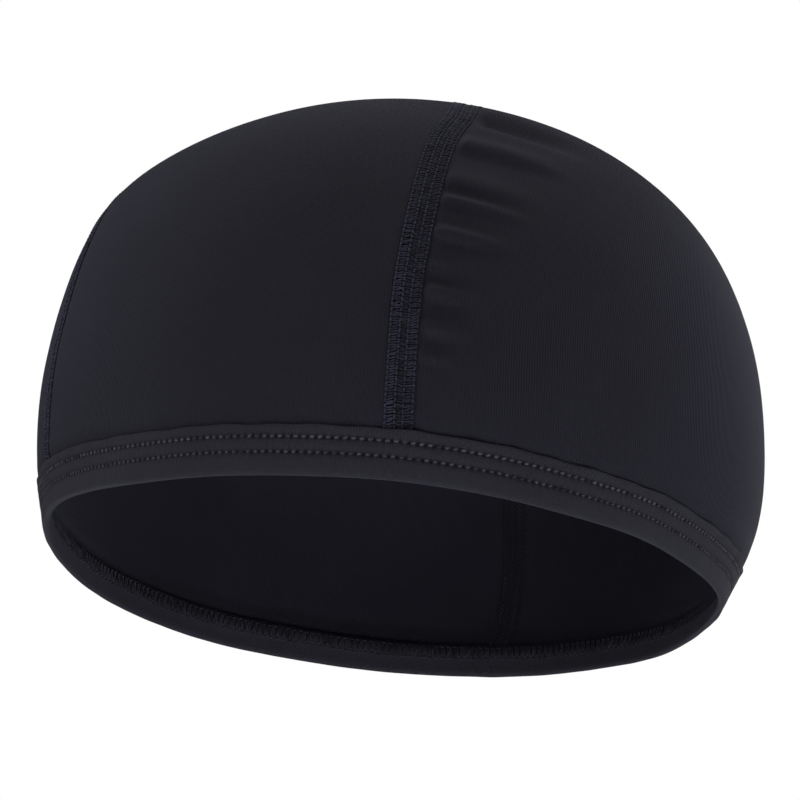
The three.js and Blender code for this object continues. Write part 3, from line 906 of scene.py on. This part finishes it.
def inside_threads(run):
    """The looser loops on the inner face."""
    seam, shape = bpy.context.scene.cap_seam, bpy.context.scene.cap_shape
    points, along, out = evenly(*run, seam.pitch * 1.1)
    frames = frames_of(points - out * (shape.cloth + seam.sink), along, -out)
    loop = stitch_template("loop")
    parts = []
    for place, lean in INSIDE_LOOPS:
        spots = turned(frames, lean, (0, place * MM, INSIDE_HEIGHT * MM))
        parts.append((loop, spots, 0.3))
    return parts


class CAP_OT_seams(bpy.types.Operator):
    """Builds the flat seams: low tapes covered by braided thread on both faces"""
    bl_idname = "cap.seams"
    bl_label = "Flat Seams"

    def execute(self, context):
        seam, shape = context.scene.cap_seam, context.scene.cap_shape
        thread = thread_material("seam_thread", seam.colour, seam.highlight, 0.6, 0.15)
        crown = shape.crown_colour
        # Painted shade: the cloth under the outer threads has 0.45 of the crown's colour, which
        # darkens the gaps between the threads
        under = knit_material(
            "seam_cloth", scaled(crown, 0.45), shape.wale_pitch, 0.06 * MM, 0.03, SEAM_SHEEN)
        inner = knit_material(
            "seam_cloth_inside", scaled(crown, 0.85), shape.wale_pitch, 0.06 * MM, 0.05,
            SEAM_SHEEN)
        reverse = thread_material("seam_thread_inside", crown, scaled(crown, 1.7), 0.75, 0.1)
        runs = (
            ("centre", centre_run(), "centre_seam"),
            ("side_left", side_run(LEFT_SEAM), "side_seam_left"),
            ("side_right", side_run(RIGHT_SEAM), "side_seam_right"),
        )
        for name, run, node in runs:
            tape = seam_tape(f"{name}_tape_outside", run, 1)
            finish_piece(tape, under, CLOTH_EDGE, [node])
            tape = seam_tape(f"{name}_tape_inside", run, -1)
            finish_piece(tape, inner, CLOTH_EDGE)
            braid = repeated(f"{name}_threads_outside", outside_threads(run))
            finish_piece(braid, thread, THREAD_EDGE)
            loops = repeated(f"{name}_threads_inside", inside_threads(run))
            finish_piece(loops, reverse, THREAD_EDGE)
        return {"FINISHED"}


# Binding

# Section of the binding: rise above the rim and offset from the crown's line, in mm.
# It goes up the outer face, down into the slot, up again and down the inner face.
BINDING_SECTION = (
    (0.0, -0.5), (0.12, -0.12), (0.4, 0.2), (0.8, 0.4), (1.3, 0.48), (2.0, 0.5),
    (2.8, 0.5), (3.5, 0.48), (4.1, 0.42), (4.6, 0.28), (5.0, 0.18), (5.4, 0.28),
    (5.9, 0.42), (6.65, 0.5), (7.4, 0.42), (7.9, 0.28), (8.3, 0.18), (8.7, 0.28),
    (9.2, 0.42), (9.8, 0.5), (10.3, 0.54), (10.62, 0.5), (10.8, 0.34), (10.84, 0.12),
    (10.74, -0.02), (10.3, -0.05), (8.0, -0.08), (6.0, -0.12), (5.2, -0.35),
    (5.2, -1.0), (5.9, -1.34), (7.0, -1.33), (8.0, -1.32), (8.5, -1.34),
    (8.74, -1.42), (8.8, -1.55), (8.66, -1.74), (8.2, -2.02), (7.5, -2.2),
    (6.9, -2.34), (6.2, -2.38), (5.5, -2.3), (4.8, -2.1), (4.2, -1.92),
    (3.2, -1.66), (2.0, -1.52), (1.0, -1.4), (0.4, -1.2), (0.12, -0.88),
)

# Points of the section that lie on the outer face, and stations for each stitch of the
# band and of a row's line
OUTER_POINTS = 24
BAND_STATIONS = 5
ROW_STATIONS = 4

# A stitch hole: its depth, and its spread up and along, which is also the spread of the shade
# painted into it
HOLE_DEPTH = 0.34 * MM
HOLE_RISE = 0.50 * MM
HOLE_RUN = 0.42 * MM

# The flat seams' ends in the binding: angles, how much thicker it is there, and spread
SEAM_ENDS = tuple(seam[0, 1] for seam in (FRONT_SEAM, RIGHT_SEAM, BACK_SEAM, LEFT_SEAM))
END_LIFT = 0.20 * MM
END_SPREAD = 3.4 * MM

# The inside's zigzag: how much lower than the rows outside, and its parts' leans in
# degrees, offsets in mm and shifts in stitches
LOOPER_DROP = 0.7 * MM
LOOPER_LEGS = ((74, -2.42, 0.25), (-74, -2.42, 0.75))
UPPER_TURNS = (-2.26, 0.5)
LOWER_TURNS = (-2.08, 0.0)


def rows_middle():
    """Rise of the line midway between the two rows of stitches."""
    binding = bpy.context.scene.cap_binding
    return (binding.upper_row + binding.lower_row) / 2


def rim_stations(count, rise):
    """Angles of evenly spaced stations round the cap at a rise above the rim."""
    fine = np.linspace(0, 360, 3601)
    lengths = travelled(surface(fine, rise / way_length(fine)))
    marks = np.arange(count) * lengths[-1] / count
    return np.interp(marks, lengths, fine), lengths[-1]


def binding_body():
    """The folded band, drawn in at each stitch of both rows, with shade painted
    where the needle goes through.
    """
    binding = bpy.context.scene.cap_binding
    angles, length = rim_stations(binding.stitches * BAND_STATIONS, rows_middle())
    section = np.array(BINDING_SECTION) * MM
    angle, rise = np.meshgrid(angles, section[:, 0], indexing="ij")
    off = np.broadcast_to(section[:, 1], angle.shape).copy()
    outside = np.broadcast_to(np.arange(len(section)) < OUTER_POINTS, angle.shape)
    place = np.arange(len(angles)) % BAND_STATIONS
    from_hole = np.minimum(place, BAND_STATIONS - place) * length / len(angles)
    hole_dent_and_shade = np.zeros_like(off)
    for row in (binding.upper_row, binding.lower_row):
        near = np.exp(-((rise - row) / HOLE_RISE) ** 2)
        hole_dent_and_shade += near * np.exp(-(from_hole[:, None] / HOLE_RUN) ** 2)
    hole_dent_and_shade = np.where(outside, hole_dent_and_shade, 0)
    off = off - HOLE_DEPTH * hole_dent_and_shade
    for end in SEAM_ENDS:
        from_seam = np.abs((angle - end + 180) % 360 - 180) * length / 360
        off = off + END_LIFT * np.exp(-(from_seam / END_SPREAD) ** 2) * outside
    turn = np.radians(angle)
    wander = 0.07 * np.sin(turn * 37 + 0.6) + 0.05 * np.sin(turn * 61 + 2 * np.sin(turn * 5))
    high = smooth((rise - 8.8 * MM) / (1.6 * MM))
    off = off + wander * MM * np.where(outside, 0.4 + 0.9 * high, 0.3)
    lift = 0.10 * MM * np.sin(turn * 23 + 1.1) + 0.08 * MM * np.sin(turn * 49)
    rise = rise + lift * smooth((rise - 9.5 * MM) / (1.0 * MM))
    way = rise / way_length(angle)
    points = surface(angle, way) + normals(angle, way) * off[..., None]
    stations, count = points.shape[:2]
    faces, places = grid_faces(stations, count, wrap=True)
    lengths = travelled(np.vstack([section, section[:1]]))
    uvs = np.stack([places[..., 0] * length / stations, lengths[places[..., 1]]], -1)
    uvs = uvs * UV_SCALE
    corners, towards = face_normals(points, faces)
    centre = points.mean(1)[faces[:, 0] // count]
    if np.sum(towards * (corners - centre)) < 0:
        faces, uvs = faces[:, ::-1], uvs[:, ::-1]
    piece = make_object("rim_binding", points.reshape(-1, 3), faces, uvs.reshape(-1, 2))
    # Painted shade: the holes' weight goes to the material, which darkens the knit there
    layer = piece.data.attributes.new("hole_dent_and_shade", "FLOAT", "POINT")
    layer.data.foreach_set("value", hole_dent_and_shade.astype(np.float32).ravel())
    return piece


def row_frames(rise, off, shift, outward=1):
    """Frames of a row of stitches in the binding, shifted by a share of a stitch."""
    stitches = bpy.context.scene.cap_binding.stitches
    fine, _ = rim_stations(stitches * ROW_STATIONS, rows_middle())
    place = (np.arange(stitches) + shift) * ROW_STATIONS
    angle = np.interp(place % len(fine), np.arange(len(fine) + 1), np.append(fine, 360))
    way = rise / way_length(angle)
    out = normals(angle, way)
    points = surface(angle, way) + out * off
    along = np.roll(points, -1, 0) - np.roll(points, 1, 0)
    return frames_of(points, along, out * outward)


def looper_threads():
    """The zigzag on the binding's inner face, lower than the rows outside."""
    binding = bpy.context.scene.cap_binding
    low, high = binding.lower_row - LOOPER_DROP, binding.upper_row - LOOPER_DROP
    leg = stitch_template("looper_leg")
    short = stitch_template("looper_turn")
    rng = np.random.default_rng(5)
    parts = []
    for lean, off, shift in LOOPER_LEGS:
        frames = row_frames((low + high) / 2, off * MM, shift, -1)
        parts.append((leg, turned(frames, lean), rng.normal(0.36, 0.25, len(frames))))
    for rise, (off, shift) in ((high, UPPER_TURNS), (low, LOWER_TURNS)):
        frames = row_frames(rise, off * MM, shift, -1)
        parts.append((short, frames, rng.normal(0.45, 0.25, len(frames))))
    return parts


class CAP_OT_binding(bpy.types.Operator):
    """Builds the folded binding round the rim"""
    bl_idname = "cap.binding"
    bl_label = "Binding"

    def execute(self, context):
        binding, shape = context.scene.cap_binding, context.scene.cap_shape
        # The binding's knit is painted darker at its stitch holes, as shade
        material = knit_material(
            "binding_knit", binding.colour, shape.wale_pitch * 0.92, 0.08 * MM, 0.05,
            BINDING_SHEEN, "hole_dent_and_shade")
        finish_piece(
            binding_body(), material, BINDING_EDGE, ["edge_binding"])
        return {"FINISHED"}


class CAP_OT_binding_stitches(bpy.types.Operator):
    """Builds the two rows of stitches outside and the looped threads inside"""
    bl_idname = "cap.binding_stitches"
    bl_label = "Binding Stitches"

    def execute(self, context):
        binding = context.scene.cap_binding
        thread = thread_material(
            "binding_thread", binding.thread_colour, binding.highlight, 0.6, 0.15)
        reverse = thread_material(
            "binding_reverse", binding.colour, scaled(binding.colour, 1.4), 0.8, 0.1)
        rng = np.random.default_rng(11)
        rows = []
        for row, size in ((binding.upper_row, 1.0), (binding.lower_row, 0.82)):
            stitch = stitch_template("stitch", size)
            frames = row_frames(row, 0.26 * MM, 0.5)
            spots = turned(frames, 10 + rng.normal(0, 7, len(frames)))
            rows.append((stitch, spots, 0.58 + rng.normal(0, 0.27, len(frames))))
        outside = repeated("binding_stitches", rows)
        finish_piece(outside, thread, THREAD_EDGE)
        inside = repeated("binding_loops_inside", looper_threads())
        finish_piece(inside, reverse, THREAD_EDGE)
        return {"FINISHED"}


# Stage

# Soft boxes: name, place, width and height in metres, and power in watts
LIGHTS = (
    ("overhead", (-0.2, -0.25, 1.3), (1.2, 1.0), 11.2),
    ("high_right", (1.0, -0.3, 0.9), (0.8, 0.8), 5.2),
    ("high_behind", (0.5, 0.25, 1.2), (0.8, 0.8), 1.7),
    ("left_box", (-1.2, -0.45, 0.2), (0.5, 1.1), 9.2),
    ("front_low", (0.0, -1.5, -0.3), (1.2, 0.6), 1.0),
    ("behind", (0.2, 1.3, 0.35), (1.2, 0.7), 6),
    ("under_right", (0.35, -0.35, -0.48), (0.6, 0.4), 4.8),
    ("under_left", (-0.35, -0.35, -0.48), (0.6, 0.4), 1.6),
)
LIGHTS_AIM = np.array([0, 0, 0.04])
WORLD_STRENGTH = 0.10

# The floor: depth below the rim and radius in metres, colour, and glow to the camera
FLOOR_DEPTH = 1.0
FLOOR_RADIUS = 6.0
FLOOR_COLOUR = (0.86, 0.86, 0.86)
FLOOR_GLOW = 0.62

# The camera, fitted to the photo: distance in metres, then its place below the rim, its
# aim to the side and up and its roll in degrees, and its focal length in picture widths
CAMERA_DISTANCE = 0.8
CAMERA_TILT = -12.886
CAMERA_AIM = (-0.0209, 15.9654)
CAMERA_ROLL = 6.4375
FOCAL_SHARE = 3394.28 / 800
SENSOR_MM = 36


def add_light(name, place, size, power):
    """A soft box aimed at the middle of the crown, which the camera doesn't see."""
    light = bpy.data.lights.new(name, "AREA")
    light.shape = "RECTANGLE"
    light.size, light.size_y = size
    light.energy = power
    lamp = in_scene(name, light)
    lamp.matrix_world = look_along(place, LIGHTS_AIM - np.array(place), 0.0)
    lamp.visible_camera = False


def add_world():
    """Weak light from all round, and a white backdrop for the camera."""
    world = bpy.data.worlds.new("studio")
    world.use_nodes = True
    tree = world.node_tree
    soft = tree.nodes["Background"]
    soft.inputs["Color"].default_value = (1, 1, 1, 1)
    soft.inputs["Strength"].default_value = WORLD_STRENGTH
    white = tree.nodes.new("ShaderNodeBackground")
    white.inputs["Color"].default_value = (1, 1, 1, 1)
    seen = tree.nodes.new("ShaderNodeLightPath")
    choice = tree.nodes.new("ShaderNodeMixShader")
    tree.links.new(seen.outputs["Is Camera Ray"], choice.inputs[0])
    tree.links.new(soft.outputs[0], choice.inputs[1])
    tree.links.new(white.outputs[0], choice.inputs[2])
    tree.links.new(choice.outputs[0], tree.nodes["World Output"].inputs["Surface"])
    bpy.context.scene.world = world


def add_camera():
    """The camera at the photo's angle."""
    tilt = math.radians(CAMERA_TILT)
    place = (0.0, -CAMERA_DISTANCE * math.cos(tilt), CAMERA_DISTANCE * math.sin(tilt))
    side, rise = (math.radians(angle) for angle in CAMERA_AIM)
    aim = (math.sin(side) * math.cos(rise), math.cos(side) * math.cos(rise), math.sin(rise))
    data = bpy.data.cameras.new("camera")
    data.sensor_width = SENSOR_MM
    data.lens = SENSOR_MM * FOCAL_SHARE
    data.clip_start, data.clip_end = 0.01, 50
    camera = in_scene("camera", data)
    camera.matrix_world = look_along(place, aim, math.radians(CAMERA_ROLL))
    bpy.context.scene.camera = camera


def look_along(place, aim, roll):
    """A matrix at a place whose -Z runs along an aim, rolled about it."""
    forward = unit(np.array(aim, float))
    right = unit(np.cross(forward, (0, 0, 1)))
    above = np.cross(right, forward)
    matrix = np.eye(4)
    matrix[:3, 0] = right * math.cos(roll) + above * math.sin(roll)
    matrix[:3, 1] = above * math.cos(roll) - right * math.sin(roll)
    matrix[:3, 2] = -forward
    matrix[:3, 3] = place
    return Matrix(matrix)


class CAP_OT_stage(bpy.types.Operator):
    """Sets the pale floor, the studio light and the camera"""
    bl_idname = "cap.stage"
    bl_label = "Floor, Light and Camera"

    def execute(self, context):
        bpy.ops.mesh.primitive_circle_add(
            vertices=96, radius=FLOOR_RADIUS, fill_type="NGON")
        floor = context.active_object
        floor.name = "floor"
        floor.data.transform(Matrix.Translation((0, 0, -FLOOR_DEPTH)))
        floor.data.materials.append(floor_material())
        add_world()
        context.scene.view_settings.view_transform = "Standard"
        for light in LIGHTS:
            add_light(*light)
        add_camera()
        return {"FINISHED"}


class CAP_PT_panel(bpy.types.Panel):
    """Lists the cap's sizes, colours and operators"""
    bl_idname = "CAP_PT_panel"
    bl_label = "Skull Cap"
    bl_space_type = "VIEW_3D"
    bl_region_type = "UI"
    bl_category = "Skull Cap"

    def draw(self, context):
        for group in (getattr(context.scene, name) for name in GROUPS):
            column = self.layout.column()
            for name in group.__annotations__:
                column.prop(group, name)
        for operator in OPERATORS:
            self.layout.operator(operator.bl_idname)


GROUPS = {"cap_shape": CapShape, "cap_seam": SeamShape, "cap_binding": BindingShape}
OPERATORS = (
    CAP_OT_crown, CAP_OT_seams, CAP_OT_binding, CAP_OT_binding_stitches, CAP_OT_stage)


def register():
    for name, group in GROUPS.items():
        bpy.utils.register_class(group)
        setattr(bpy.types.Scene, name, PointerProperty(type=group))
    for operator in OPERATORS:
        bpy.utils.register_class(operator)
    bpy.utils.register_class(CAP_PT_panel)


def unregister():
    bpy.utils.unregister_class(CAP_PT_panel)
    for operator in reversed(OPERATORS):
        bpy.utils.unregister_class(operator)
    for name, group in reversed(list(GROUPS.items())):
        delattr(bpy.types.Scene, name)
        bpy.utils.unregister_class(group)


def main():
    register()
    bpy.ops.cap.stage()
    bpy.ops.cap.crown()
    bpy.ops.cap.seams()
    bpy.ops.cap.binding()
    bpy.ops.cap.binding_stitches()


if __name__ == "__main__":
    main()
